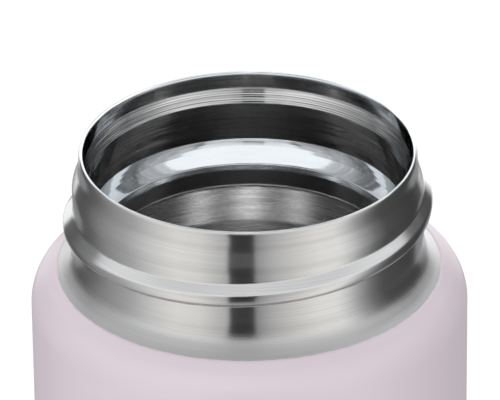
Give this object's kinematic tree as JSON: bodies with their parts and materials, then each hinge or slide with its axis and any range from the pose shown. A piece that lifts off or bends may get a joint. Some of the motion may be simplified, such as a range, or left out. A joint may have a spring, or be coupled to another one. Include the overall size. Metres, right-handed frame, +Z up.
{
  "type": "insulated baby bottle",
  "caption": "Wide-mouth double-walled vacuum baby bottle with a bare steel threaded neck, a pale powder-coated body and an open mouth with a seal seat.",
  "frame": {"origin": "centre of the base, on the surface the bottle stands on", "axes": "+Z up along the bottle's axis, out of the mouth; the rolled thread's crest is 11.6 mm below the lip on the -X side and 9.95 mm below it on the -Y side"},
  "size_m": [0.0652, 0.0652, 0.145],
  "materials": {
    "brushed_neck_steel": "18/8 stainless sheet, brushed round the axis",
    "drawn_flask_steel": "18/8 stainless sheet, drawn and electropolished to a satin",
    "bottom_steel": "pressed stainless sheet, mill finish",
    "pink_powder_coat": "pale pink powder coat, fine texture, satin",
    "solder_glass": "fired solder glass, dark grey-green, glossy",
    "getter_alloy": "sintered metal powder, matt",
    "clip_steel": "stamped stainless strip",
    "shield_foil": "bright foil with fine creases",
    "base_silicone": "matt moulded silicone rubber"
  },
  "bodies": {
    "root": {"outer_shell": "brushed_neck_steel", "powder_coat": "pink_powder_coat", "mouth_liner": "brushed_neck_steel", "inner_flask": "drawn_flask_steel", "inner_bottom": "drawn_flask_steel", "outer_bottom": "bottom_steel", "vacuum_seal": "solder_glass", "getter": "getter_alloy", "getter_clip": "clip_steel", "heat_shield": "shield_foil", "heat_shield_disc": "shield_foil", "base_cover": "bottom_steel", "base_pad": "base_silicone"}
  },
  "joints": []
}
